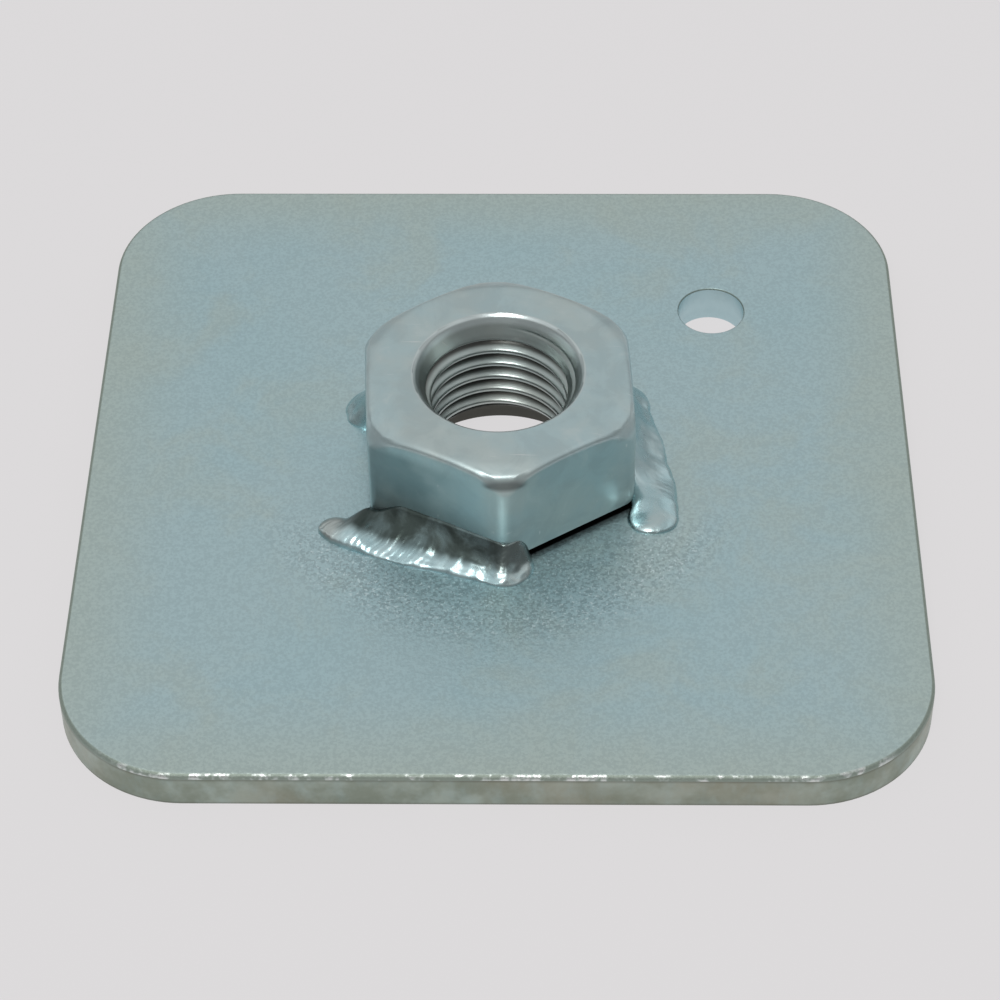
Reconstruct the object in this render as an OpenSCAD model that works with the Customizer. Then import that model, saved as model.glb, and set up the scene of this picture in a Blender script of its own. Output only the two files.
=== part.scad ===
// Weld nut plate: a blanked square backing plate with a hexagon nut arc-welded
// over its bolt hole by three fillet welds, one on every second flat.
// Millimetres. The origin is the middle of the plate's underside, +Z towards the nut.

/* [Plate] */
// Side of the square plate
plate_side = 60; // [45:0.5:100]
// Sheet thickness
plate_thickness = 3; // [2:0.1:6]
// Radius of the plate's four corners
corner_radius = 9; // [4:0.5:16]
// Radius that the blanking die rolls over along the upper edges
edge_roll = 0.4; // [0.1:0.05:0.8]
// Broken edge along the underside
edge_break = 0.15; // [0.05:0.05:0.4]
// Bolt hole under the nut
bolt_hole_d = 15; // [12.5:0.1:16]
// Locating hole near one corner
locating_hole_d = 5; // [3:0.1:8]
// Locating hole centre, in from the two nearest edges
locating_hole_inset = 14; // [10:0.5:15]

/* [Nut] */
// Width across flats
nut_across_flats = 19; // [17.8:0.1:24]
// Height of the nut, seat included
nut_height = 8.7; // [6.5:0.1:16]
// Height of the round seat that the nut stands on
seat_height = 0.6; // [0.2:0.05:1.2]
// Diameter of that seat
seat_d = 17.3; // [17:0.1:17.8]
// How far the nut's corners are rounded back
corner_trim = 0.2; // [0.15:0.05:0.8]
// Diameter of the flat top face
top_face_d = 18; // [15:0.1:18.6]
// Diameter where the crown turns steep
crown_d = 20.2; // [19.2:0.1:20.8]
// Drop of the crown from the top face to there
crown_drop = 0.55; // [0.2:0.05:1]
// Drop of the crown at the nut's corners
corner_drop = 1.4; // [1.05:0.05:2.2]
// Turn of the nut on the plate, in degrees
nut_turn = 3; // [-30:0.5:30]

/* [Thread] */
// Major diameter of the thread, 7/16 inch
thread_d = 11.1125; // [10:0.0125:11.5]
// Pitch, 20 threads to the inch
thread_pitch = 1.27; // [1:0.01:1.75]
// Mouth of the upper countersink
countersink_d = 12.3; // [11.6:0.1:13.2]
// Mouth of the lower countersink
lower_countersink_d = 11; // [10.4:0.1:12.6]
// Full angle of the countersinks, in degrees
countersink_angle = 60; // [50:1:120]

/* [Welds] */
// Leg of each weld up the nut's flat
weld_leg = 2.4; // [1.5:0.1:3.5]
// Reach of each weld over the plate
weld_reach = 3.6; // [2:0.1:4.5]
// Length of a weld's starting lobe beyond the nut's corner
weld_start = 2.8; // [1.5:0.1:4]
// Length of a weld's tail along the next flat
weld_tail = 1.7; // [1:0.1:3]

/* [Hidden] */
$fn = 96;

// Cuts run this far past the faces that they open
past = 1;
plate_tone = [0.58, 0.67, 0.68];
nut_tone = [0.62, 0.66, 0.66];
weld_tone = [0.52, 0.56, 0.56];

half_side = plate_side / 2;
straight = plate_side - 2 * corner_radius;
locating_at = half_side - locating_hole_inset;

nut_base = plate_thickness + seat_height;
nut_top = plate_thickness + nut_height;
flat_at = nut_across_flats / 2;
hex_radius = flat_at / cos(30);
body_radius = hex_radius - corner_trim;
base_chamfer = 0.5;
// Height of a sharp thread of 60 degrees is 0.866 pitches, and five eighths of it are cut
minor_d = thread_d - 2 * (5 / 8) * (sqrt(3) / 2) * thread_pitch;
countersink_lean = tan(countersink_angle / 2);
countersink_depth = (countersink_d - minor_d) / 2 / countersink_lean;
lower_depth = (lower_countersink_d - minor_d) / 2 / countersink_lean;

// A weld starts in a lobe before the flat, follows the flat, turns the nut's corner and ends in a tail
corner_at = hex_radius / 2;
// The turn round the corner follows this radius, and its length is taken this far out from it
turn_radius = 0.5;
turn_out = 1.2;
turn_from = corner_at - turn_radius * tan(30);
turn_length = (turn_radius + turn_out) * PI / 3;
weld_from = -corner_at - weld_start;
weld_to = turn_from + turn_length + weld_tail;
tail_round = 0.75 * weld_tail;
weld_stations = 48;
weld_points = 10;
weld_skin = 0.04;
station_crowding = 0.08;
// The bead's section is hollow, with a low rounded lip at the toe
hollow = 1.9;
lip = 0.18;
lip_edge = 4;
// The leg rises from this share to the full leg over this length, and sinks by a share to the tail
leg_low = 0.3;
leg_rise = 3;
leg_sink = 0.05;
// The toe narrows by this share to the tail
weld_taper = 0.5;
// The free lobe is this share of the leg high and swells over this length
lobe_height = 0.32;
lobe_rise = 2.5;
// Hand-laid shapes: share of the reach, how far out in it the lobe ends, and how much the lobe is necked
right_shape = [0.88, 0.35, -0.6];
back_left_shape = [0.9, 0.6, 0.3];
front_left_shape = [1, 0.68, 0.45];

// Plate

module rim_section() {
    square_to = corner_radius - edge_roll;
    translate([0, edge_break]) square([corner_radius, plate_thickness - edge_roll - edge_break]);
    square([corner_radius - edge_break, plate_thickness - edge_roll]);
    square([square_to, plate_thickness]);
    translate([square_to, plate_thickness - edge_roll]) circle(edge_roll);
}

module plate_blank() {
    inner = half_side - corner_radius;
    translate([-inner, -inner, 0]) cube([2 * inner, 2 * inner, plate_thickness]);
    for (quarter = [0:3]) rotate(90 * quarter) {
        translate([inner, inner, 0]) rotate_extrude(angle = 90) rim_section();
        translate([inner, straight / 2, 0]) rotate([90, 0, 0]) linear_extrude(straight) rim_section();
    }
}

// A punched hole, rolled over on the side that the punch entered
module punched_hole(d) {
    translate([0, 0, -past]) cylinder(d = d, h = plate_thickness + 2 * past);
    rotate_extrude() difference() {
        translate([0, plate_thickness - edge_roll]) square([d / 2 + edge_roll, edge_roll + past]);
        translate([d / 2 + edge_roll, plate_thickness - edge_roll]) circle(edge_roll);
    }
}

module plate() {
    color(plate_tone) difference() {
        plate_blank();
        translate([0, 0, -past]) cylinder(d = bolt_hole_d, h = plate_thickness + 2 * past);
        translate([locating_at, locating_at, 0]) punched_hole(locating_hole_d);
    }
}

// Nut

module nut_envelope() {
    rotate_extrude() polygon([
        [0, nut_base],
        [body_radius - base_chamfer, nut_base],
        [body_radius, nut_base + base_chamfer * tan(30)],
        [body_radius, nut_top - corner_drop],
        [crown_d / 2, nut_top - crown_drop],
        [top_face_d / 2, nut_top],
        [0, nut_top]
    ]);
}

module nut_bore() {
    mouth = countersink_d / 2;
    lower_mouth = lower_countersink_d / 2;
    rotate_extrude() polygon([
        [0, plate_thickness - past],
        [lower_mouth, plate_thickness - past],
        [lower_mouth, plate_thickness],
        [minor_d / 2, plate_thickness + lower_depth],
        [minor_d / 2, nut_top - countersink_depth],
        [mouth, nut_top],
        [mouth, nut_top + past],
        [0, nut_top + past]
    ]);
}

module weld_nut() {
    color(nut_tone) rotate(nut_turn) difference() {
        union() {
            intersection() {
                translate([0, 0, nut_base]) rotate(30) cylinder(r = hex_radius, h = nut_height, $fn = 6);
                nut_envelope();
            }
            translate([0, 0, plate_thickness]) cylinder(d = seat_d, h = seat_height + base_chamfer);
        }
        nut_bore();
    }
}

// Welds. s runs along the bead, n out from the nut and z up from the plate

function clamp01(x) = min(1, max(0, x));
function smooth(x) = let (c = clamp01(x)) c * c * (3 - 2 * c);

// 0 along the bead and 1 at the ends of the lobe and the tail
function in_lobe(s) = clamp01((-corner_at - s) / weld_start);
function in_tail(s) = clamp01((s - weld_to + tail_round) / tail_round);
function rounded(x) = sqrt(max(0, 1 - x * x));

// Outer toe: full at the start, narrower towards the tail, and at the lobe's middle at its tip
function lobe_middle(shape) = weld_reach * shape[0] * shape[1];
function toe_full(s, shape) = weld_reach * shape[0]
    * (1 - weld_taper * smooth((s + corner_at) / (weld_to + corner_at)));
function outer_toe(s, shape) = let (middle = lobe_middle(shape), full = toe_full(s, shape))
    s < 0 ? middle + (full - middle) * rounded(pow(in_lobe(s), 2)) : full * rounded(in_tail(s));
// Inner toe: on the flat, and away from it along the lobe
function inner_toe(s, shape) = lobe_middle(shape)
    * (1 - (1 - shape[2] * smooth(2 * in_lobe(s))) * rounded(pow(in_lobe(s), 2)));

// The leg on the flat, and the free hump of the lobe
function leg(s) = weld_leg * (leg_low + (1 - leg_low) * smooth((s + corner_at) / leg_rise))
    * (1 - smooth(2 * in_lobe(s))) * (1 - leg_sink * smooth(s / weld_to)) * rounded(in_tail(s));
function hump(s) = weld_leg * lobe_height * rounded(in_lobe(s))
    * smooth((lobe_rise - corner_at - s) / lobe_rise);
function fillet(u) = (1 - lip) * pow(1 - u, hollow) + lip * (1 - pow(u, lip_edge));
function dome(u) = sin(180 * u);
function bead_z(s, u) = leg(s) * fillet(u) + hump(s) * dome(u);

// A point of the bead: straight along the flat, round the corner, then along the next flat
function bend(s) = 60 * clamp01((s - turn_from) / turn_length);
function on_path(s, n, z) =
    let (a = bend(s), past_turn = max(0, s - turn_from - turn_length))
    [min(s, turn_from) + (turn_radius + n) * sin(a) + past_turn * cos(60),
     (turn_radius + n) * cos(a) - turn_radius - past_turn * sin(60), z];

function weld_section(s, shape) =
    let (inner = inner_toe(s, shape), outer = max(outer_toe(s, shape), inner + weld_skin))
    concat([on_path(s, inner, 0)],
           [for (k = [0:weld_points]) let (u = k / weld_points)
               on_path(s, inner + (outer - inner) * u, k == weld_points ? 0 : max(weld_skin, bead_z(s, u)))]);

// Stations crowd towards both ends, where the bead rounds off
function weld_station(i) = let (x = i / weld_stations)
    weld_from + (weld_to - weld_from) * (x - station_crowding * sin(360 * x));

module weld_bead(shape) {
    ring = weld_points + 2;
    points = [for (i = [0:weld_stations]) each weld_section(weld_station(i), shape)];
    walls = [for (i = [0:weld_stations - 1], k = [0:ring - 1])
        let (a = i * ring + k, b = i * ring + (k + 1) % ring)
        each [[a, b, b + ring], [a, b + ring, a + ring]]];
    ends = [[for (k = [ring - 1:-1:0]) k], [for (k = [0:ring - 1]) weld_stations * ring + k]];
    polyhedron(points, concat(walls, ends), convexity = 4);
}

// The weld on the flat that faces the given direction
module weld(direction, shape) {
    color(weld_tone) rotate(nut_turn + direction) translate([flat_at, 0, plate_thickness])
        multmatrix([[0, 1, 0, 0], [1, 0, 0, 0], [0, 0, 1, 0], [0, 0, 0, 1]]) weld_bead(shape);
}

module weld_right() { weld(0, right_shape); }
module weld_back_left() { weld(120, back_left_shape); }
module weld_front_left() { weld(240, front_left_shape); }

plate();
weld_nut();
weld_right();
weld_back_left();
weld_front_left();
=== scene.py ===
"""Looks of the weld nut plate: zinc-plated sheet, a threaded hexagon nut and three weld beads."""

import math
from typing import Callable, NamedTuple

import bmesh
import bpy
from bpy.props import FloatProperty, FloatVectorProperty, PointerProperty
from mathutils import Matrix, Vector, noise


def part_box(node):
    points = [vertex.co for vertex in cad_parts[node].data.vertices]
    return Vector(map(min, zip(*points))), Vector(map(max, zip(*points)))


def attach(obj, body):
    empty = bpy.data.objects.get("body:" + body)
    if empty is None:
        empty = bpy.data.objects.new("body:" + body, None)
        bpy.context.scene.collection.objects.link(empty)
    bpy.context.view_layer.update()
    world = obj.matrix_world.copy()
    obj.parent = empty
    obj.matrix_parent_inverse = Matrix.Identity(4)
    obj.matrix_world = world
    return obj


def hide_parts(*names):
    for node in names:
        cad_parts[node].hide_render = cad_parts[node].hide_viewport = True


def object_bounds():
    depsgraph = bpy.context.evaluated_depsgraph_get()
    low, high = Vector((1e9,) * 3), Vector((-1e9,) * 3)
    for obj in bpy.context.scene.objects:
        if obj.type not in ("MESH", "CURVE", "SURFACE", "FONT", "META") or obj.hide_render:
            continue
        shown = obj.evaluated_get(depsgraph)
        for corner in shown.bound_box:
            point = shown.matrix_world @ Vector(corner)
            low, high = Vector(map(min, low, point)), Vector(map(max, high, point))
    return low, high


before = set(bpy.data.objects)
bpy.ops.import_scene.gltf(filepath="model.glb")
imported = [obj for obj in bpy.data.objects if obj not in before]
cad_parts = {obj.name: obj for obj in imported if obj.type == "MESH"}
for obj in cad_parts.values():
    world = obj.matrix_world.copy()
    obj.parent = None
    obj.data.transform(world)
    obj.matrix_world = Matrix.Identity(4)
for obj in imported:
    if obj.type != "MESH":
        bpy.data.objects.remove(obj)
CAD_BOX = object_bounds()
PLATE_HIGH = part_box("plate")[1]
NUT_LOW, NUT_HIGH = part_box("weld_nut")

bl_info = {
    "name": "Weld Nut Plate",
    "version": (1, 0, 0),
    "blender": (4, 5, 0),
    "location": "View3D > Sidebar > Weld Nut Plate",
    "description": "Builds a zinc-plated backing plate with a welded nut",
    "category": "Object",
}

TURN = 2 * math.pi
MM = 0.001
# Direction of the nut's front left flat in degrees, before the nut's own turn
FRONT_LEFT = 240


# Settings

def length(name, description, default):
    return FloatProperty(name=name, description=description, default=default, unit="LENGTH", precision=5)


def angle(name, description, degrees):
    return FloatProperty(name=name, description=description, default=math.radians(degrees), subtype="ANGLE")


def position(name, description, default):
    return FloatVectorProperty(name=name, description=description, default=default, subtype="TRANSLATION",
                               unit="LENGTH", precision=6)


def tint(name, description, default):
    return FloatVectorProperty(name=name, description=description, default=default, subtype="COLOR",
                               min=0, max=1)


class PlateSettings(bpy.types.PropertyGroup):
    """Sizes and colours of the sheet"""

    corner_radius: length("Corner radius", "Radius of the four corners", 9 * MM)
    edge_roll: length("Edge roll", "Radius rolled over along the upper edge", 0.4 * MM)
    edge_break: length("Edge break", "Radius along the lower edge and round the locating hole", 0.15 * MM)
    bolt_hole_radius: length("Bolt hole radius", "Hole under the nut", 7.5 * MM)
    locating_hole_radius: length("Locating hole radius", "Hole near the corner", 2.5 * MM)
    locating_hole_inset: length("Locating hole inset", "Distance from two edges", 14 * MM)
    zinc: tint("Zinc", "Main colour of the plating", (0.51, 0.675, 0.71))
    zinc_cool: tint("Cool zinc", "Bluish patches", (0.485, 0.67, 0.715))
    zinc_warm: tint("Warm zinc", "Yellowish patches", (0.56, 0.65, 0.60))
    # Dark dots in the grain, and the painted dark reflection in front of the nut
    pit_and_dark_reflection: tint("Pit", "Dark grain", (0.16, 0.22, 0.24))
    # Pale streaks in the grain, and painted glints on spattered metal in front of the nut
    streak_and_glint: tint("Sparkle", "Streaks and bright specks", (0.78, 0.92, 0.95))
    # Painted shade on the sheet under the nut, seen through the gap
    gap_shade: tint("Covered", "Sheet under the nut", (0.015, 0.015, 0.015))
    # Painted highlight: pale dashes on the rolled front edge
    painted_glint: tint("Worn", "Rubbed places on the rolled edge", (0.72, 0.75, 0.73))
    cut: tint("Cut edge", "Plating on the sheared edge", (0.275, 0.315, 0.26))
    stain: tint("Stain", "Brownish places on the sheared edge", (0.35, 0.33, 0.25))
    dark_line: tint("Crease", "Lines along the sheared edge", (0.13, 0.13, 0.11))
    # Painted shade on the wall of the bolt hole under the nut
    bore: tint("Bore", "Wall of the bolt hole", (0.09, 0.09, 0.08))


class NutSettings(bpy.types.PropertyGroup):
    """Sizes and colours of the nut"""

    across_flats: length("Across flats", "Width across flats", 19 * MM)
    corner_round: length("Corner round", "Radius of the upright corners", 1.3 * MM)
    top_radius: length("Top radius", "Radius of the flat top face", 9 * MM)
    crown_radius: length("Crown radius", "Radius where the crown turns steep", 10.1 * MM)
    edge_round: length("Edge round", "Softening where the crown meets the flats", 0.42 * MM)
    seat_radius: length("Seat radius", "Radius of the round seat", 8.65 * MM)
    seat_height: length("Seat height", "Height of the round seat", 0.6 * MM)
    turn: angle("Turn", "Turn on the plate", 3)
    thread_radius: length("Thread radius", "Major radius of the thread", 5.55625 * MM)
    pitch: length("Pitch", "Pitch of the thread", 1.27 * MM)
    countersink_radius: length("Countersink radius", "Mouth of the upper countersink", 6.15 * MM)
    lower_radius: length("Lower radius", "Mouth of the lower countersink", 5.5 * MM)
    countersink_angle: angle("Countersink angle", "Full angle of the countersinks", 60)
    zinc: tint("Zinc", "Main colour of the plating", (0.50, 0.64, 0.665))
    zinc_warm: tint("Warm zinc", "Yellowish patches", (0.55, 0.64, 0.635))
    zinc_dark: tint("Dark zinc", "Darker clouds", (0.36, 0.45, 0.47))
    zinc_pale: tint("Pale zinc", "Paler clouds", (0.66, 0.74, 0.74))
    scratch: tint("Scratch", "Fine scratches", (0.86, 0.88, 0.88))
    # Painted shade on the front left flat
    face_shade: tint("Burnt", "Flat darkened by the heat of its weld", (0.13, 0.19, 0.20))
    # Painted shade inside the bore
    thread: tint("Thread", "Flanks of the thread", (0.36, 0.38, 0.35))
    # Painted shade in the grooves of the thread
    groove_shade: tint("Groove", "Bottom of the thread", (0.05, 0.045, 0.04))
    # Painted light: the upper countersink is paler than the zinc
    mouth: tint("Mouth", "Upper countersink", (0.70, 0.79, 0.80))
    # Painted shade and dark reflection on the steep corners of the crown
    bevel: tint("Bevel", "Steep corners of the crown", (0.12, 0.13, 0.13))
    # Painted shade on the underside over the plate
    gap_shade: tint("Covered", "Underside over the plate", (0.01, 0.01, 0.01))


class WeldSettings(bpy.types.PropertyGroup):
    """Sizes and colours of the weld beads"""

    leg: length("Leg", "Leg up the flat", 2.4 * MM)
    reach: length("Reach", "Reach over the plate", 3.6 * MM)
    start: length("Start", "Length of the starting lobe", 2.8 * MM)
    tail: length("Tail", "Length of the tail along the next flat", 1.7 * MM)
    ripple_pitch: length("Ripple pitch", "Distance between two ripples", 0.5 * MM)
    ripple_height: length("Ripple height", "Height of a ripple", 0.075 * MM)
    metal: tint("Weld metal", "Main colour of the beads", (0.47, 0.66, 0.70))
    metal_pale: tint("Pale metal", "Paler places on the beads", (0.60, 0.77, 0.80))
    scorched: tint("Scorched", "Brownish tint at the lobes", (0.46, 0.47, 0.44))
    # Sootiness and painted shade on the upper bead
    soot_and_shade: tint("Soot", "Burnt metal beside the nut", (0.06, 0.08, 0.075))


class StageSettings(bpy.types.PropertyGroup):
    """Floor, light and camera"""

    floor: tint("Floor", "Colour of the floor", (0.735, 0.72, 0.728))
    floor_shade: tint("Floor shade", "Faint clouds on the floor", (0.60, 0.59, 0.60))
    lamp: position("Lamp", "Place of the lamp, which shines at the origin", (-0.055, -0.26, 0.36))
    lamp_size: length("Lamp size", "Width of the lamp", 0.11)
    lamp_power: FloatProperty(name="Lamp power", description="Power of the lamp in watts", default=0.60)
    lamp_tint: tint("Lamp tint", "Colour of the lamp", (1.0, 0.99, 0.97))
    lens: FloatProperty(name="Lens", description="Focal length", default=112.33, subtype="DISTANCE_CAMERA")
    target: position("Target", "Point that the camera looks at", (0.017 * MM, -1.408 * MM, 0))
    elevation: angle("Elevation", "Camera height angle", 45.781)
    azimuth: angle("Azimuth", "Camera turn", 1.229)
    roll: angle("Roll", "Camera roll", -0.755)
    distance: length("Distance", "Camera distance", 229.304 * MM)


class WeldNutPlateSettings(bpy.types.PropertyGroup):
    """All settings of the weld nut plate"""

    plate: PointerProperty(type=PlateSettings)
    nut: PointerProperty(type=NutSettings)
    weld: PointerProperty(type=WeldSettings)
    stage: PointerProperty(type=StageSettings)


# Small maths

def clamp01(value):
    return min(1.0, max(0.0, value))


def smooth(value):
    """Smooth step from 0 to 1"""
    value = clamp01(value)
    return value * value * (3 - 2 * value)


def rounded(value):
    """Quarter circle, from 1 at 0 to 0 at 1"""
    return math.sqrt(max(0.0, 1 - value * value))


def polar(turn, radius, height):
    return Vector((radius * math.cos(turn), radius * math.sin(turn), height))


def rough(x, y, z):
    """Smooth noise about 0"""
    return noise.noise(Vector((x, y, z)))


# Materials

class Wire:
    """A socket in a graph; arithmetic on it adds Math nodes"""

    def __init__(self, graph, socket):
        self.graph = graph
        self.socket = socket

    def _math(self, operation, a, b):
        return self.graph.node("ShaderNodeMath", {"operation": operation}, {0: a, 1: b})

    def __add__(self, other):
        return self._math("ADD", self, other)

    def __radd__(self, other):
        return self._math("ADD", other, self)

    def __sub__(self, other):
        return self._math("SUBTRACT", self, other)

    def __rsub__(self, other):
        return self._math("SUBTRACT", other, self)

    def __mul__(self, other):
        return self._math("MULTIPLY", self, other)

    def __rmul__(self, other):
        return self._math("MULTIPLY", other, self)

    def __abs__(self):
        return self._math("ABSOLUTE", self, 0)

    def larger(self, other):
        return self._math("MAXIMUM", self, other)

    def within(self, start, end):
        """Smooth step from 0 at start to 1 at end, where start may be the larger"""
        return self.graph.node("ShaderNodeMapRange", {"interpolation_type": "SMOOTHSTEP"},
                               {"Value": self, "From Min": start, "From Max": end})


class Graph:
    """The nodes of a material or of the world, grown by calls"""

    def __init__(self, owner):
        self.owner = owner
        owner.use_nodes = True
        self.tree = owner.node_tree
        self.tree.nodes.clear()

    def node(self, kind, settings=None, inputs=None, output=0):
        made = self.tree.nodes.new(kind)
        for name, value in (settings or {}).items():
            setattr(made, name, value)
        for key, value in (inputs or {}).items():
            if isinstance(value, Wire):
                self.tree.links.new(value.socket, made.inputs[key])
            else:
                made.inputs[key].default_value = value
        return None if output is None else Wire(self, made.outputs[output])

    def place(self):
        return self.node("ShaderNodeTexCoord", output="Object")

    def axis(self, place, name):
        return self.node("ShaderNodeSeparateXYZ", inputs={0: place}, output=name)

    def around(self, place):
        """Distance from the upright axis"""
        level = self.stretched(place, (1, 1, 0))
        return self.node("ShaderNodeVectorMath", {"operation": "LENGTH"}, {0: level}, output="Value")

    def along(self, place, turn):
        """Distance from the upright axis in one direction"""
        way = polar(turn, 1, 0)
        return self.node("ShaderNodeVectorMath", {"operation": "DOT_PRODUCT"}, {0: place, 1: way},
                         output="Value")

    def stretched(self, place, scale, turn=0.0):
        return self.node("ShaderNodeMapping", inputs={
            "Vector": place, "Scale": scale, "Rotation": (0, 0, turn)})

    def noise(self, place, scale, detail=2.0, roughness=0.5, distortion=0.0):
        return self.node("ShaderNodeTexNoise", inputs={
            "Vector": place, "Scale": scale, "Detail": detail, "Roughness": roughness,
            "Distortion": distortion})

    def painted(self, name):
        """A value that the mesh carries"""
        return self.node("ShaderNodeAttribute", {"attribute_name": name}, output="Fac")

    def blend(self, share, a, b):
        colours = [value if isinstance(value, Wire) else (*value, 1) for value in (a, b)]
        return self.node("ShaderNodeMix", {"data_type": "RGBA"},
                         {0: share, 6: colours[0], 7: colours[1]}, output=2)

    def bump(self, height, strength, distance):
        return self.node("ShaderNodeBump", inputs={
            "Height": height, "Strength": strength, "Distance": distance})

    def end(self, kind, shader):
        self.node(kind, inputs={"Surface": shader}, output=None)
        return self.owner

    def metal(self, colour, roughness, normal, coat=0.0):
        shader = self.node("ShaderNodeBsdfPrincipled", inputs={
            "Base Color": colour, "Metallic": 1.0, "Roughness": roughness, "Normal": normal,
            "Coat Weight": coat, "Coat Roughness": 0.08})
        return self.end("ShaderNodeOutputMaterial", shader)


def plate_top_finish(plate, nut):
    finish = Graph(bpy.data.materials.new("plate_zinc"))
    place = finish.place()
    across = finish.axis(place, "X")
    depth = finish.axis(place, "Y")
    height = finish.axis(place, "Z")
    half = PLATE_HIGH.x
    top = PLATE_HIGH.z
    mottle = finish.noise(place, 48, 4, 0.6, 0.6)
    patches = finish.noise(place, 120, 5, 0.62, 0.4)
    grain = finish.noise(place, 4200, 2, 0.6)
    speck = finish.noise(place, 5200, 1)
    streak = finish.noise(finish.stretched(place, (160, 2300, 160), 0.18), 1, 3)

    # Cloudy plating, yellower towards the rim
    rim = abs(across).larger(abs(depth)).within(half - 8 * MM, half + 0.5 * MM)
    colour = finish.blend(mottle.within(0.40, 0.66) * 0.7, plate.zinc, plate.zinc_cool)
    colour = finish.blend(patches.within(0.46, 0.70) * 0.45, colour, plate.zinc_warm)
    colour = finish.blend(rim * 0.75, colour, plate.zinc_warm)

    # Grain all over with dark dots; in front of the nut more dark dots as a painted dark reflection, and
    # bright specks of spattered weld metal with painted glints
    front_of_nut = finish.around(place).within(19.5 * MM, 16 * MM) * depth.within(-4 * MM, -11 * MM)
    pits_and_dark_reflection = 0.16 * grain.within(0.62, 0.38) + 0.22 * front_of_nut * grain.within(0.52, 0.42)
    colour = finish.blend(pits_and_dark_reflection, colour, plate.pit_and_dark_reflection)
    specks = front_of_nut * speck.within(0.62, 0.68)
    colour = finish.blend(streak.within(0.70, 0.86) * 0.22 + 0.7 * specks, colour, plate.streak_and_glint)

    # Painted shade: the sheet under the nut is near black
    flat_at = nut.across_flats / 2
    flats = [abs(finish.along(place, nut.turn + TURN / 6 * step)) for step in range(3)]
    hexagon = flats[0].larger(flats[1]).larger(flats[2])
    colour = finish.blend(hexagon.within(flat_at + 0.05 * MM, flat_at - 0.15 * MM), colour, plate.gap_shade)

    # Rolled edge in the cut edge's colour, with pale dashes along the front only as a painted highlight
    roll = height.within(top - 0.01 * MM, top - 0.06 * MM)
    front = depth.within(2.5 * MM - half, 1.2 * MM - half)
    painted_glint = finish.noise(place, 560, 3, 0.7).within(0.50, 0.64) * front
    colour = finish.blend(roll * (0.7 - 0.7 * painted_glint), colour, plate.cut)
    colour = finish.blend(roll * painted_glint, colour, plate.painted_glint)

    roughness = 0.40 + 0.08 * (patches - 0.5) + 0.14 * (grain - 0.5) + roll * (0.2 - 0.26 * painted_glint)
    relief = grain * 0.7 + speck * 0.5 + 0.4 * patches
    return finish.metal(colour, roughness, finish.bump(relief, 0.5, 0.06 * MM))


def plate_cut_finish(plate):
    finish = Graph(bpy.data.materials.new("plate_cut_edge"))
    place = finish.place()
    height = finish.axis(place, "Z")
    around = finish.around(place)
    top = PLATE_HIGH.z
    patches = finish.noise(place, 190, 4, 0.65)
    stain = finish.noise(place, 75, 3, 0.6)
    drawn = finish.noise(finish.stretched(place, (900, 900, 500)), 1, 3, 0.6)
    torn = finish.noise(place, 1700, 3, 0.7)

    # Outer edge, stained, and darker along a line below the roll and one near the lower edge
    dark_lines = height.within(top - 0.7 * MM, top - 0.4 * MM).larger(height.within(0.35 * MM, 0.12 * MM))
    colour = finish.blend(patches.within(0.40, 0.66) * 0.5, plate.cut, plate.zinc_warm)
    colour = finish.blend(stain.within(0.42, 0.62) * 0.55, colour, plate.stain)
    colour = finish.blend(drawn.within(0.40, 0.75) * 0.15, colour, plate.zinc_cool)
    colour = finish.blend(dark_lines * 0.5, colour, plate.dark_line)

    # Walls of the two holes, told apart by their distance from the axis; the bolt hole's wall, under the nut,
    # gets painted shade
    bore = around.within(plate.bolt_hole_radius + 1 * MM, plate.bolt_hole_radius + 0.5 * MM)
    locating_hole = around.within(20 * MM, 21 * MM) * around.within(26.5 * MM, 26.2 * MM)
    colour = finish.blend(bore, colour, plate.bore)
    colour = finish.blend(locating_hole, colour, plate.zinc)

    low = height.within(1.2 * MM, 0.6 * MM)
    roughness = 0.42 + 0.2 * (torn - 0.5) + 0.08 * low
    relief = drawn * 0.6 + torn * (0.25 + 0.5 * low)
    return finish.metal(colour, roughness, finish.bump(relief, 0.35, 0.06 * MM))


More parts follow.
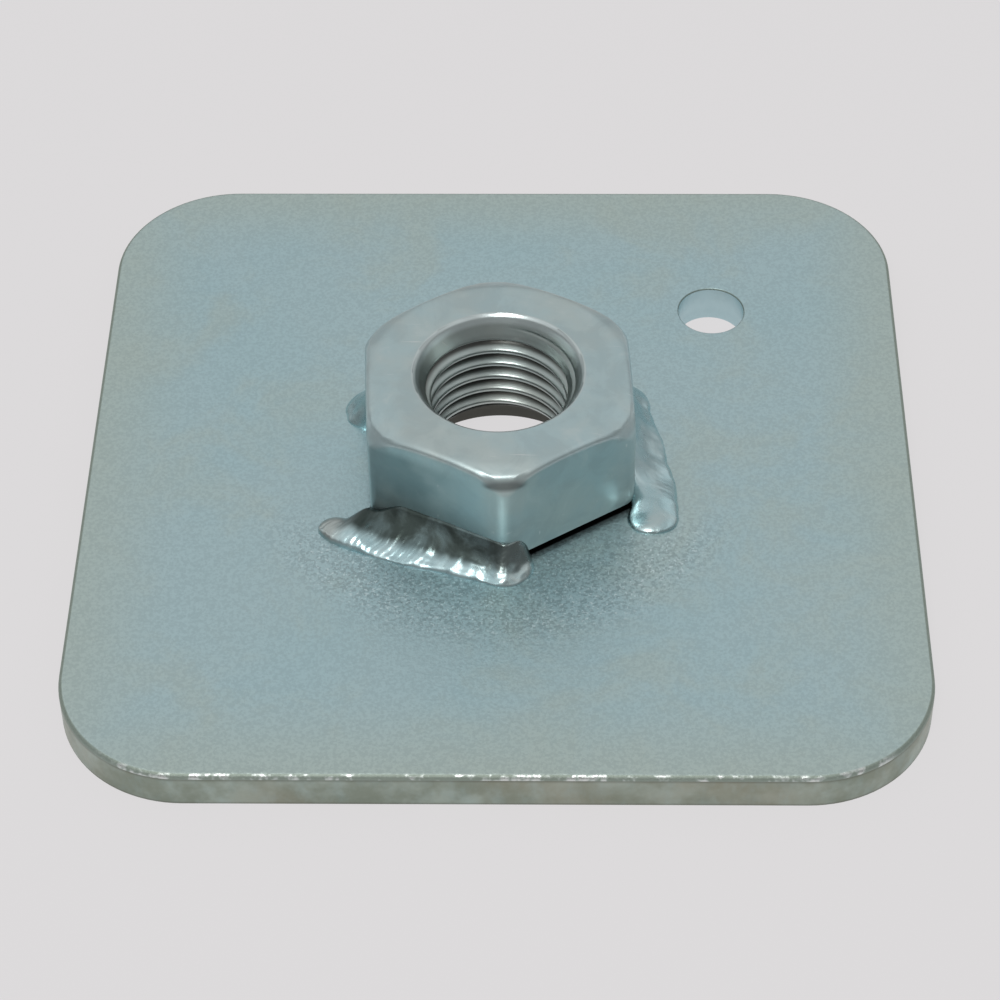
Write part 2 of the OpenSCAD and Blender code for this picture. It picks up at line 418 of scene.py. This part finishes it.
def nut_finish(nut):
    finish = Graph(bpy.data.materials.new("nut_zinc"))
    place = finish.place()
    across = finish.axis(place, "X")
    depth = finish.axis(place, "Y")
    height = finish.axis(place, "Z")
    around = finish.around(place)
    top = NUT_HIGH.z
    mottle = finish.noise(place, 150, 3, 0.6)
    grain = finish.noise(place, 2100, 3, 0.6)
    scratch = finish.noise(finish.stretched(place, (260, 3600, 900), 0.5), 1, 2)
    cloud = finish.noise(place, 380, 4, 0.65, 0.5)

    # Cloudy plating with scratches
    colour = finish.blend(mottle.within(0.36, 0.66), nut.zinc, nut.zinc_warm)
    colour = finish.blend(cloud.within(0.54, 0.36) * 0.25, colour, nut.zinc_dark)
    colour = finish.blend(cloud.within(0.54, 0.72) * 0.35, colour, nut.zinc_pale)
    colour = finish.blend(scratch.within(0.68, 0.82) * 0.6, colour, nut.scratch)

    # Front left flat, painted shade away from the front corner
    flat_at = nut.across_flats / 2
    out = finish.along(place, nut.turn + math.radians(FRONT_LEFT))
    flat = out.within(flat_at - 0.3 * MM, flat_at - 0.1 * MM)
    face_shade = flat * across.within(-0.5 * MM, -6.5 * MM) * height.within(top - 0.9 * MM, top - 1.9 * MM)
    colour = finish.blend(face_shade * (0.25 + 0.3 * mottle.within(0.60, 0.42)), colour, nut.face_shade)

    # Bore with painted shade, darkest in the grooves of the thread, and a mouth painted paler as painted
    # light
    inside = around.within(nut.countersink_radius + 0.15 * MM, nut.countersink_radius - 0.05 * MM)
    mouth = around.within(5.6 * MM, 5.8 * MM) * inside
    groove_shade = around.within(5.05 * MM, 5.4 * MM) * height.within(top - 1.2 * MM, top - 1.8 * MM) * inside
    colour = finish.blend(inside * 0.6, colour, nut.thread)
    colour = finish.blend(mouth * 0.8, colour, nut.mouth)

    # Painted shade and dark reflection on the steep corners of the crown, darkest at the front
    corner = around.within(nut.crown_radius, nut.crown_radius + 0.3 * MM)
    bevel = height.within(top - 1.6 * MM, top - 1.2 * MM) * height.within(top - 0.3 * MM, top - 0.6 * MM)
    front = depth.within(-9 * MM, -10.2 * MM)
    colour = finish.blend(corner * bevel * (0.15 + 0.6 * front), colour, nut.bevel)
    colour = finish.blend(groove_shade * 0.85, colour, nut.groove_shade)

    # Painted shade: the underside over the plate is near black
    base = NUT_LOW.z + nut.seat_height
    hidden = height.within(base + 0.03 * MM, base - 0.02 * MM) * around.within(7.5 * MM, 8 * MM)
    colour = finish.blend(hidden, colour, nut.gap_shade)

    roughness = 0.40 + 0.16 * (mottle - 0.5) + 0.10 * (grain - 0.5) - 0.07 * inside + 0.12 * corner
    relief = mottle * 1.6 + grain * 0.35 - scratch.within(0.70, 0.84) * 0.6
    return finish.metal(colour, roughness, finish.bump(relief, 0.35, 0.06 * MM))


def weld_finish(weld):
    finish = Graph(bpy.data.materials.new("weld_metal"))
    place = finish.place()
    mottle = finish.noise(place, 420, 3, 0.6, 0.5)
    grain = finish.noise(place, 2600, 2, 0.6)
    lobe = finish.painted("lobe")
    soot_and_shade = finish.painted("soot_and_shade")
    colour = finish.blend(mottle.within(0.38, 0.68), weld.metal, weld.metal_pale)
    colour = finish.blend(lobe * mottle.within(0.30, 0.55) * 0.7, colour, weld.scorched)
    # Sootiness and painted shade beside the nut
    colour = finish.blend(soot_and_shade * (0.75 + 0.25 * mottle.within(0.3, 0.6)), colour, weld.soot_and_shade)
    roughness = 0.27 + 0.14 * (mottle - 0.4).larger(0.0) + 0.10 * (grain - 0.5)
    relief = mottle * 1.4 + grain * 0.25
    return finish.metal(colour, roughness, finish.bump(relief, 0.5, 0.09 * MM), 0.1)


def floor_finish(stage):
    """Pale floor that glows for the rays that see it"""
    finish = Graph(bpy.data.materials.new("pale_floor"))
    rays = [finish.node("ShaderNodeLightPath", output=f"Is {kind} Ray")
            for kind in ("Camera", "Glossy", "Transmission")]
    seen = rays[0].larger(rays[1]).larger(rays[2])
    clouds = finish.noise(finish.place(), 6, 2)
    colour = finish.blend(clouds * 0.03, stage.floor, stage.floor_shade)
    matte = finish.node("ShaderNodeBsdfDiffuse", inputs={"Color": colour})
    glow = finish.node("ShaderNodeEmission", inputs={"Color": colour, "Strength": 1.0})
    mixed = finish.node("ShaderNodeMixShader", inputs={0: seen * 0.9, 1: matte, 2: glow})
    return finish.end("ShaderNodeOutputMaterial", mixed)


# Mesh helpers

def finish_piece(name, bm, materials, node):
    """Makes the piece from its bmesh, and lets it stand for the solid"""
    bmesh.ops.recalc_face_normals(bm, faces=bm.faces)
    mesh = bpy.data.meshes.new(name)
    bm.to_mesh(mesh)
    bm.free()
    piece = bpy.data.objects.new(name, mesh)
    bpy.context.collection.objects.link(piece)
    for material in materials:
        mesh.materials.append(material)
    mesh.shade_smooth()
    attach(piece, "root")
    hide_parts(node)
    return piece


def weigh_normals(piece):
    """Keeps large flat faces flat beside their rounded edges"""
    weighted = piece.modifiers.new("flat_faces", "WEIGHTED_NORMAL")
    weighted.mode = "FACE_AREA"
    weighted.keep_sharp = True


def ring_verts(edges):
    """The vertices of a ring of edges, each once and in a fixed order"""
    return list(dict.fromkeys(vert for edge in edges for vert in edge.verts))


def number(verts, tag):
    for index, vert in enumerate(verts):
        vert[tag] = index


def extrude_ring(bm, edges, tag, spots):
    """Extrudes a ring of edges and puts each new vertex at the spot of its number"""
    grown = bmesh.ops.extrude_edge_only(bm, edges=edges)["geom"]
    verts = {item for item in grown if isinstance(item, bmesh.types.BMVert)}
    for vert in verts:
        vert.co = spots[vert[tag]]
    return [item for item in grown if isinstance(item, bmesh.types.BMEdge) and set(item.verts) <= verts]


# Plate

class Rim(NamedTuple):
    """A closed line on the sheet's upper face, the way out of the sheet from it, and its wall's steps"""

    edges: list
    way: Callable
    steps: list


class OBJECT_OT_weld_nut_plate_sheet(bpy.types.Operator):
    """Build the square sheet with its holes and rolled edges"""

    bl_idname = "object.weld_nut_plate_sheet"
    bl_label = "Plate"

    corner_steps = 24
    bolt_hole_steps = 128
    locating_hole_steps = 72
    roll_steps = 6
    sharp_angle = 0.7

    def execute(self, context):
        settings = context.scene.weld_nut_plate
        self.plate = settings.plate
        bm = bmesh.new()
        tag = bm.verts.layers.int.new("ring")
        rims = [self.outer_rim(bm), self.bolt_hole(bm), self.locating_hole(bm)]
        bmesh.ops.triangle_fill(bm, use_beauty=True, edges=bm.edges[:])
        lower = []
        for rim in rims:
            lower += self.wall(bm, tag, rim)
        bmesh.ops.triangle_fill(bm, use_beauty=True, edges=lower)
        bmesh.ops.recalc_face_normals(bm, faces=bm.faces)
        self.sort_faces(bm)
        finishes = [plate_top_finish(self.plate, settings.nut), plate_cut_finish(self.plate)]
        weigh_normals(finish_piece("plate_sheet", bm, finishes, "plate"))
        return {"FINISHED"}

    def quarter(self, every):
        """Angles along a quarter turn"""
        return [TURN / 4 * step / self.roll_steps for step in range(every, self.roll_steps + 1, every)]

    def outer_rim(self, bm):
        half, top, radius = PLATE_HIGH.x, PLATE_HIGH.z, self.plate.corner_radius
        roll, low = self.plate.edge_roll, self.plate.edge_break
        grid = bmesh.ops.create_grid(bm, x_segments=1, y_segments=1, size=half - roll,
                                     matrix=Matrix.Translation((0, 0, top)))
        bmesh.ops.bevel(bm, geom=grid["verts"], offset=radius - roll, segments=self.corner_steps,
                        affect="VERTICES", profile=0.5, material=-1)
        bmesh.ops.delete(bm, geom=bm.faces[:], context="FACES_ONLY")

        def outward(spot):
            far = half - radius
            return spot - Vector((math.copysign(far, spot.x), math.copysign(far, spot.y)))

        steps = [(roll * math.sin(turn), top - roll * (1 - math.cos(turn))) for turn in self.quarter(1)]
        steps.append((roll, low))
        steps += [(roll - low * (1 - math.cos(turn)), low * (1 - math.sin(turn))) for turn in self.quarter(2)]
        return Rim(bm.edges[:], outward, steps)

    def hole(self, bm, centre, radius, segments, steps):
        place = Matrix.Translation((*centre, PLATE_HIGH.z))
        circle = bmesh.ops.create_circle(bm, segments=segments, radius=radius, matrix=place)
        edges = list(dict.fromkeys(edge for vert in circle["verts"] for edge in vert.link_edges))

        def inward(spot):
            return Vector(centre) - spot

        return Rim(edges, inward, steps)

    def bolt_hole(self, bm):
        return self.hole(bm, (0, 0), self.plate.bolt_hole_radius, self.bolt_hole_steps, [(0, 0)])

    def locating_hole(self, bm):
        top, soft = PLATE_HIGH.z, self.plate.edge_break
        inset = PLATE_HIGH.x - self.plate.locating_hole_inset
        mouth = self.plate.locating_hole_radius + soft
        steps = [(soft * math.sin(turn), top - soft * (1 - math.cos(turn))) for turn in self.quarter(2)]
        steps.append((soft, 0))
        return self.hole(bm, (inset, inset), mouth, self.locating_hole_steps, steps)

    def wall(self, bm, tag, rim):
        """Runs a rim down to the underside and returns its last edges"""
        start = ring_verts(rim.edges)
        number(start, tag)
        points = [vert.co.xy for vert in start]
        ways = [rim.way(point).normalized() for point in points]
        edges = rim.edges
        for out, level in rim.steps:
            spots = [Vector((*(point + out * way), level)) for point, way in zip(points, ways)]
            edges = extrude_ring(bm, edges, tag, spots)
        return edges

    def sort_faces(self, bm):
        """Marks sharp edges, and gives the walls the cut finish"""
        wall_top = PLATE_HIGH.z - 0.9 * self.plate.edge_roll
        for edge in bm.edges:
            edge.smooth = edge.calc_face_angle(0) < self.sharp_angle
        for face in bm.faces:
            is_wall = face.calc_center_median().z < wall_top and face.normal.z > -0.5
            face.material_index = 1 if is_wall else 0


# Nut

def bend(corner):
    """Quadratic bend round a corner, given by three points that follow the wall, as a list of sections"""
    steps = 7

    def at(share):
        weights = ((1 - share) ** 2, 2 * share * (1 - share), share * share)

        def section(wall):
            points = corner(wall)
            return tuple(sum(w * point[axis] for w, point in zip(weights, points)) for axis in (0, 1))
        return section

    return [at(step / steps) for step in range(steps + 1)]


class OBJECT_OT_weld_nut_plate_nut(bpy.types.Operator):
    """Build the hexagon nut with its crown, seat, countersinks and helical thread"""

    bl_idname = "object.weld_nut_plate_nut"
    bl_label = "Nut"

    thread_steps = 360
    # Depth of the thread as a share of a sharp one's
    thread_share = 0.625
    # Height in pitches and depth in thread depths along one tooth
    tooth = ((0.0, 0.0), (0.06, 0.0), (0.125, 0.06), (0.18, 0.2), (0.25, 0.42), (0.33, 0.66), (0.41, 0.9),
             (0.46, 0.985), (0.5, 1.0), (0.54, 0.985), (0.59, 0.9), (0.67, 0.66), (0.75, 0.42), (0.82, 0.2),
             (0.875, 0.06), (0.94, 0.0))
    # How far the tooth line runs past the top before it is trimmed, in pitches
    thread_phase = 0.62
    mouth_round = 0.2 * MM
    mouth_lip = 0.12 * MM
    # Slopes of the crown and how softly each sets in
    crown_lean = 0.45
    crown_soft = 0.25 * MM
    steep_lean = 1.15
    steep_soft = 0.10 * MM
    # Radii of the rings on the crown in millimetres, and the least gap between two
    crown_rings = (6.9, 7.6, 8.3, 8.6, 8.8, 9.0, 9.2, 9.4, 9.65, 9.85, 9.97, 10.04, 10.1, 10.16, 10.22, 10.3)
    ring_gap = 0.012 * MM
    # Heights of the rings on the flats above the base in millimetres
    wall_rings = (5, 3, 1.2, 0.15)
    foot_round = 0.1 * MM

    def execute(self, context):
        self.nut = context.scene.weld_nut_plate.nut
        self.apothem = self.nut.across_flats / 2
        self.bottom = NUT_LOW.z
        self.top = NUT_HIGH.z
        sharp_depth = math.sqrt(0.75) * self.nut.pitch
        self.minor = self.nut.thread_radius - self.thread_share * sharp_depth
        bm = bmesh.new()
        tag = bm.verts.layers.int.new("ring")
        self.cut_thread(bm)
        self.open_mouths(bm)
        seat = self.mouth(bm, self.bottom)
        last = self.raise_body(bm, tag, self.mouth(bm, self.top))
        bmesh.ops.bridge_loops(bm, edges=seat + last)
        finish_piece("hexagon_nut", bm, [nut_finish(self.nut)], "weld_nut")
        return {"FINISHED"}

    def cut_thread(self, bm):
        """One tooth line, repeated up the bore, is screwed round once and trimmed level with both faces"""
        pitch, deep = self.nut.pitch, self.nut.thread_radius - self.minor
        turns = math.ceil((self.top - self.bottom) / pitch) + 2
        low = self.top - (turns - self.thread_phase) * pitch
        line = [bm.verts.new((self.minor + deep * out, 0, low + (turn + up) * pitch))
                for turn in range(turns) for up, out in self.tooth]
        edges = [bm.edges.new(pair) for pair in zip(line, line[1:])]
        bmesh.ops.spin(bm, geom=line + edges, cent=(0, 0, 0), axis=(0, 0, 1), angle=TURN,
                       dvec=(0, 0, pitch / self.thread_steps), steps=self.thread_steps)
        bmesh.ops.remove_doubles(bm, verts=bm.verts, dist=1e-6)
        for level, way in ((self.top, 1), (self.bottom, -1)):
            bmesh.ops.bisect_plane(bm, geom=bm.verts[:] + bm.edges[:] + bm.faces[:], dist=1e-7,
                                   plane_co=(0, 0, level), plane_no=(0, 0, way), clear_outer=True)

    def cone(self, mouth, depth):
        """Radius of a countersink at a depth, with its rim eased"""
        lean = math.tan(self.nut.countersink_angle / 2)
        return mouth - depth * lean - 0.5 * self.mouth_round * smooth(depth / self.mouth_round)

    def open_mouths(self, bm):
        """Moves what lies in a countersink out to its cone"""
        for vert in bm.verts:
            upper = self.cone(self.nut.countersink_radius, self.top - vert.co.z)
            lower = self.cone(self.nut.lower_radius, vert.co.z - self.bottom)
            radius = max(upper, lower)
            around = math.hypot(vert.co.x, vert.co.y)
            if around < radius:
                vert.co.x *= radius / around
                vert.co.y *= radius / around

    def mouth(self, bm, level):
        """Open edges of the bore at one end"""
        ends = [edge for edge in bm.edges if edge.is_boundary]
        return [edge for edge in ends if all(abs(vert.co.z - level) < 1e-6 for vert in edge.verts)]

    def wall(self, turn):
        """Distance of the upright wall from the axis, with rounded corners"""
        off = abs((turn - self.nut.turn + TURN / 12) % (TURN / 6) - TURN / 12)
        centre = (self.apothem - self.nut.corner_round) / math.cos(TURN / 12)
        if self.apothem * math.tan(off) <= centre / 2:
            return self.apothem / math.cos(off)
        lean = TURN / 12 - off
        aside = centre * math.sin(lean)
        return centre * math.cos(lean) + math.sqrt(self.nut.corner_round ** 2 - aside ** 2)

    def crown(self, radius):
        """Height of the crown, which leans down past the top face and turns steep near the corners"""
        bends = ((self.nut.top_radius, self.crown_lean, self.crown_soft),
                 (self.nut.crown_radius, self.steep_lean, self.steep_soft))
        return self.top - sum(lean * (radius - start + math.hypot(radius - start, soft)) / 2
                              for start, lean, soft in bends)

    def body_sections(self):
        """One function a ring, from the wall's distance to radius and height, from the mouth to the seat"""
        nut, soft, foot_round = self.nut, self.nut.edge_round, self.foot_round
        base = self.bottom + nut.seat_height

        def fixed(radius, height):
            return lambda wall: (radius, height)

        def on_wall(height):
            return lambda wall: (wall, base + height)

        def on_crown(radius, rest):
            def section(wall):
                reach = min(radius, wall - soft - rest)
                return reach, self.crown(reach)
            return section

        def shoulder(wall):
            edge = self.crown(wall)
            return (wall - soft, self.crown(wall - soft)), (wall, edge), (wall, edge - soft)

        def foot(wall):
            return (wall, base + foot_round), (wall, base), (wall - foot_round, base)

        spare = range(len(self.crown_rings), 0, -1)
        sections = [fixed(nut.countersink_radius + self.mouth_lip, self.top)]
        sections += [on_crown(ring * MM, left * self.ring_gap) for ring, left in zip(self.crown_rings, spare)]
        sections += bend(shoulder)
        sections += [on_wall(ring * MM) for ring in self.wall_rings]
        sections += bend(foot)[1:]
        sections += [fixed(nut.seat_radius, base), fixed(nut.seat_radius, self.bottom)]
        sections.append(fixed(nut.lower_radius + self.mouth_lip, self.bottom))
        return sections

    def raise_body(self, bm, tag, edges):
        """Rings from the upper mouth over the crown and the flats down to the seat"""
        start = ring_verts(edges)
        number(start, tag)
        turns = [math.atan2(vert.co.y, vert.co.x) for vert in start]
        walls = [self.wall(turn) for turn in turns]
        for section in self.body_sections():
            spots = [polar(turn, *section(wall)) for turn, wall in zip(turns, walls)]
            edges = extrude_ring(bm, edges, tag, spots)
        return edges


# Welds

class Bead(NamedTuple):
    """A hand-laid bead: direction in degrees, shares of the reach for width and lobe, neck, and how much
    sootiness and painted shade it has
    """

    node: str
    direction: float
    width: float
    lobe_out: float
    neck: float
    soot_and_shade: float


BEADS = (
    Bead("weld_right", 0, 0.88, 0.35, -0.6, 0.15),
    Bead("weld_back_left", 120, 0.9, 0.6, 0.3, 0.3),
    Bead("weld_front_left", FRONT_LEFT, 1.0, 0.68, 0.45, 1.0),
)


class OBJECT_OT_weld_nut_plate_welds(bpy.types.Operator):
    """Build the three rippled fillet welds"""

    bl_idname = "object.weld_nut_plate_welds"
    bl_label = "Welds"

    stations = 180
    skin_points = 34
    # How strongly the stations crowd towards both ends
    crowding = 0.08
    # Path round the nut's corner
    turn_radius = 0.5 * MM
    turn_out = 1.2 * MM
    # Leg up the flat along the bead
    leg_low = 0.3
    leg_rise = 3 * MM
    leg_sink = 0.05
    # Share of the tail that is rounded off
    tail_round = 0.75
    # Lobe, toe and section
    lobe_height = 0.32
    lobe_rise = 2.5 * MM
    taper = 0.5
    hollow = 1.9
    lip = 0.22
    lip_edge = 4
    # How deep the bead is set into the nut and the plate
    into_nut = 0.2 * MM
    into_plate = 0.05 * MM
    least_width = 0.01 * MM
    # Ripples bow along the bead and fade out over the middle of the flat
    ripple_bow = 1.6 * MM
    ripple_end = 2.5 * MM
    ripple_fade = 5 * MM

    def execute(self, context):
        settings = context.scene.weld_nut_plate
        self.weld = settings.weld
        self.flat = settings.nut.across_flats / 2
        self.corner = self.flat * math.tan(TURN / 12)
        self.turn_from = self.corner - self.turn_radius * math.tan(TURN / 12)
        self.turn_length = (self.turn_radius + self.turn_out) * TURN / 6
        self.first = -self.corner - self.weld.start
        self.last = self.turn_from + self.turn_length + self.weld.tail
        material = weld_finish(self.weld)
        for bead in BEADS:
            self.bead = bead
            self.outward = polar(settings.nut.turn + math.radians(bead.direction), 1, 0)
            self.lay_bead(material)
        return {"FINISHED"}

    def in_lobe(self, s):
        return clamp01((-self.corner - s) / self.weld.start)

    def in_tail(self, s):
        return clamp01((s - self.last) / (self.tail_round * self.weld.tail) + 1)

    def toes(self, s):
        """Inner and outer toe, out from the nut"""
        bead, lobe = self.bead, self.in_lobe(s)
        reach = self.weld.reach * bead.width
        wander = rough(s * 420, bead.direction, 0) * 0.16 + rough(s * 1300, bead.direction, 5) * 0.07
        run = smooth((s + self.corner) / (self.last + self.corner))
        outer = reach * (1 - self.taper * run) + wander * MM
        middle = bead.lobe_out * reach
        tip = rounded(lobe * lobe)
        inner = middle * (1 - (1 - bead.neck * smooth(2 * lobe)) * tip)
        if s < 0:
            outer = middle + (outer - middle) * tip
        else:
            outer *= rounded(self.in_tail(s))
        return inner, max(outer, inner + self.least_width)

    def body(self, s, u):
        """Hollow fillet that grows out of a round lobe"""
        weld, lobe = self.weld, self.in_lobe(s)
        rise = self.leg_low + (1 - self.leg_low) * smooth((s + self.corner) / self.leg_rise)
        leg = weld.leg * rise * (1 - smooth(2 * lobe))
        leg *= (1 - self.leg_sink * smooth(s / self.last)) * rounded(self.in_tail(s))
        swell = smooth((self.lobe_rise - self.corner - s) / self.lobe_rise)
        hump = self.lobe_height * weld.leg * swell * rounded(lobe)
        toe = max(0.0, 1 - u ** self.lip_edge) ** 0.6
        fillet = (1 - self.lip) * (1 - u) ** self.hollow + self.lip * toe
        lump = 1 + 0.10 * rough(s * 300, u * 2, self.bead.direction)
        return leg * fillet * lump + hump * rounded(2 * u - 1)

    def ripple(self, s, u):
        """Ripples on the outer part of a sooty bead"""
        weld = self.weld
        bow = self.ripple_bow * (u - 0.3) ** 2
        phase = (s + bow) / weld.ripple_pitch + 0.5 * rough(s * 500, u * 3, self.bead.direction)
        wave = (1 - 2 * abs(phase % 1 - 0.5)) ** 0.7 - 0.5
        fade = smooth((u - 0.3) * 3) * smooth((self.ripple_end - s) / self.ripple_fade)
        return weld.ripple_height * wave * fade * rounded(self.in_lobe(s)) * self.bead.soot_and_shade

    def scallop(self, s, u):
        """Uneven lumps towards the toe"""
        seed, soot_and_shade = self.bead.direction, self.bead.soot_and_shade
        wave = rough(s * 700, u * 2.5, seed + 9) + 0.4 * rough(s * 1900, u * 5, seed)
        return wave * (0.05 + 0.09 * soot_and_shade) * MM * smooth((u - 0.4) / 0.3) * rounded(self.in_tail(s))

    def height(self, s, u):
        """Height of the bead over the plate, u being 0 at the inner toe and 1 at the outer"""
        relief = self.ripple(s, u) + self.scallop(s, u)
        return max(0.0, self.body(s, u) + relief * smooth(8 * (1 - u)))

    def station(self, index):
        """Distance along the bead, from the middle of its flat"""
        share = index / self.stations
        return self.first + (self.last - self.first) * (share - self.crowding * math.sin(TURN * share))

    def on_path(self, s, n, z):
        """Straight along the flat, round the corner, then along the next flat"""
        turn = TURN / 6 * clamp01((s - self.turn_from) / self.turn_length)
        past = max(0.0, s - self.turn_from - self.turn_length)
        swing = self.turn_radius + n
        side = min(s, self.turn_from) + swing * math.sin(turn) + past * math.cos(TURN / 6)
        out = self.flat + swing * math.cos(turn) - self.turn_radius - past * math.sin(TURN / 6)
        along = Vector((-self.outward.y, self.outward.x, 0))
        return self.outward * out + along * side + Vector((0, 0, PLATE_HIGH.z + z))

    def section(self, s):
        """Closed section at a station: two points in the plate, then the skin from inner to outer toe"""
        inner, outer = self.toes(s)
        sunk = self.into_nut * (1 - smooth(2 * self.in_lobe(s)))
        points = [self.on_path(s, outer, -self.into_plate), self.on_path(s, inner - sunk, -self.into_plate)]
        for index in range(self.skin_points):
            u = index / (self.skin_points - 1)
            n = inner + (outer - inner) * u
            points.append(self.on_path(s, n if index else n - sunk, self.height(s, u)))
        return points

    def scorch(self, s):
        """Brown tint at the lobe and, on a sooty bead, towards the tail"""
        soot_and_shade = self.bead.soot_and_shade
        brown = max(smooth(1.6 * self.in_lobe(s)), 0.7 * soot_and_shade * smooth((s - 3 * MM) / (3 * MM)))
        return brown * (0.4 + 0.6 * soot_and_shade)

    def soot_and_shade(self, s, u):
        """Sootiness and painted shade beside the nut, with a jagged edge"""
        dark = smooth((s + 7.5 * MM) / (2 * MM)) * (1 - 0.3 * smooth((s - 4 * MM) / (3 * MM)))
        edge = 0.78 + 0.16 * rough(s * 1100, self.bead.direction, 3)
        return self.bead.soot_and_shade * dark * smooth((edge - u) / 0.25)

    def lay_bead(self, material):
        bm = bmesh.new()
        tag = bm.verts.layers.int.new("ring")
        lobe_tag = bm.verts.layers.float.new("lobe")
        soot_tag = bm.verts.layers.float.new("soot_and_shade")
        loop = [bm.verts.new(point) for point in self.section(self.first)]
        number(loop, tag)
        for vert in loop:
            vert[lobe_tag] = 1
        ring = [bm.edges.new(pair) for pair in zip(loop, loop[1:] + loop[:1])]
        for index in range(1, self.stations + 1):
            s = self.station(index)
            ring = extrude_ring(bm, ring, tag, self.section(s))
            for vert in ring_verts(ring):
                vert[lobe_tag] = self.scorch(s)
                vert[soot_tag] = self.soot_and_shade(s, (vert[tag] - 2) / (self.skin_points - 1))
        bmesh.ops.holes_fill(bm, edges=[edge for edge in bm.edges if edge.is_boundary], sides=0)
        bmesh.ops.remove_doubles(bm, verts=bm.verts, dist=1e-6)
        finish_piece(self.bead.node + "_bead", bm, [material], self.bead.node)


# Stage

class OBJECT_OT_weld_nut_plate_stage(bpy.types.Operator):
    """Add the floor, the light and the camera"""

    bl_idname = "object.weld_nut_plate_stage"
    bl_label = "Stage"

    floor_half = 1.5
    floor_gap = 0.02 * MM
    # Brightness of the sky all round, low at the back corners, behind, high on both sides and overhead
    sky_base = 0.25
    sky_flank = 0.07
    sky_behind = 0.39
    sky_beside = 0.52
    sky_over = 0.36

    def execute(self, context):
        stage = context.scene.weld_nut_plate.stage
        self.lay_floor(context, stage)
        self.light_sky(context)
        self.hang_lamp(context, stage)
        self.aim(context, stage)
        context.scene.view_settings.view_transform = "Standard"
        return {"FINISHED"}

    def lay_floor(self, context, stage):
        bm = bmesh.new()
        bmesh.ops.create_grid(bm, x_segments=8, y_segments=8, size=self.floor_half)
        mesh = bpy.data.meshes.new("floor")
        bm.to_mesh(mesh)
        bm.free()
        mesh.materials.append(floor_finish(stage))
        floor = bpy.data.objects.new("floor", mesh)
        floor.location.z = CAD_BOX[0].z - self.floor_gap
        context.collection.objects.link(floor)

    def light_sky(self, context):
        world = bpy.data.worlds.new("studio")
        context.scene.world = world
        sky = Graph(world)
        way = sky.node("ShaderNodeTexCoord", output="Generated")
        depth = sky.axis(way, "Y")
        height = sky.axis(way, "Z")
        side = abs(sky.axis(way, "X")).within(0.30, 0.55)
        flank = side * depth.within(0.35, 0.6) * height.within(0.6, 0.5)
        behind = depth.within(-0.15, 0.5) * height.within(0.05, 0.45)
        beside = side * height.within(0.45, 0.68)
        over = height.within(0.84, 0.96)
        bright = (self.sky_behind * behind).larger(self.sky_beside * beside).larger(self.sky_over * over)
        level = self.sky_base + self.sky_flank * flank + bright
        back = sky.node("ShaderNodeBackground", inputs={"Color": (1.0, 1.0, 1.0, 1), "Strength": level})
        sky.end("ShaderNodeOutputWorld", back)

    def hang_lamp(self, context, stage):
        lamp = bpy.data.lights.new("front_lamp", "AREA")
        lamp.size = stage.lamp_size
        lamp.energy = stage.lamp_power
        lamp.color = stage.lamp_tint
        holder = bpy.data.objects.new("front_lamp", lamp)
        holder.location = stage.lamp
        holder.rotation_euler = (-Vector(stage.lamp)).to_track_quat("-Z", "Y").to_euler()
        context.collection.objects.link(holder)

    def aim(self, context, stage):
        el, az, roll = stage.elevation, stage.azimuth, stage.roll
        back = Vector((math.sin(az) * math.cos(el), -math.cos(az) * math.cos(el), math.sin(el)))
        right = Vector((math.cos(az), math.sin(az), 0))
        up = back.cross(right)
        side = math.cos(roll) * right + math.sin(roll) * up
        over = -math.sin(roll) * right + math.cos(roll) * up
        lens = bpy.data.cameras.new("camera")
        lens.lens = stage.lens
        lens.sensor_width = 36
        lens.clip_start = 0.01
        camera = bpy.data.objects.new("camera", lens)
        turn = Matrix((side, over, back)).transposed().to_4x4()
        camera.matrix_world = Matrix.Translation(Vector(stage.target) + back * stage.distance) @ turn
        context.collection.objects.link(camera)
        context.scene.camera = camera


# Add-on

class VIEW3D_PT_weld_nut_plate(bpy.types.Panel):
    """Buttons and settings of the weld nut plate"""

    bl_idname = "VIEW3D_PT_weld_nut_plate"
    bl_label = "Weld Nut Plate"
    bl_space_type = "VIEW_3D"
    bl_region_type = "UI"
    bl_category = "Weld Nut Plate"

    def draw(self, context):
        settings = context.scene.weld_nut_plate
        for operator, group in ((OBJECT_OT_weld_nut_plate_sheet, settings.plate),
                                (OBJECT_OT_weld_nut_plate_nut, settings.nut),
                                (OBJECT_OT_weld_nut_plate_welds, settings.weld),
                                (OBJECT_OT_weld_nut_plate_stage, settings.stage)):
            box = self.layout.box()
            box.operator(operator.bl_idname)
            for name in group.__annotations__:
                box.prop(group, name)


CLASSES = (PlateSettings, NutSettings, WeldSettings, StageSettings, WeldNutPlateSettings,
           OBJECT_OT_weld_nut_plate_sheet, OBJECT_OT_weld_nut_plate_nut, OBJECT_OT_weld_nut_plate_welds,
           OBJECT_OT_weld_nut_plate_stage, VIEW3D_PT_weld_nut_plate)


def register():
    for item in CLASSES:
        bpy.utils.register_class(item)
    bpy.types.Scene.weld_nut_plate = PointerProperty(type=WeldNutPlateSettings)


def unregister():
    del bpy.types.Scene.weld_nut_plate
    for item in reversed(CLASSES):
        bpy.utils.unregister_class(item)


def main():
    register()
    bpy.ops.object.weld_nut_plate_sheet()
    bpy.ops.object.weld_nut_plate_nut()
    bpy.ops.object.weld_nut_plate_welds()
    bpy.ops.object.weld_nut_plate_stage()
    bpy.context.view_layer.update()


if __name__ == "__main__":
    main()
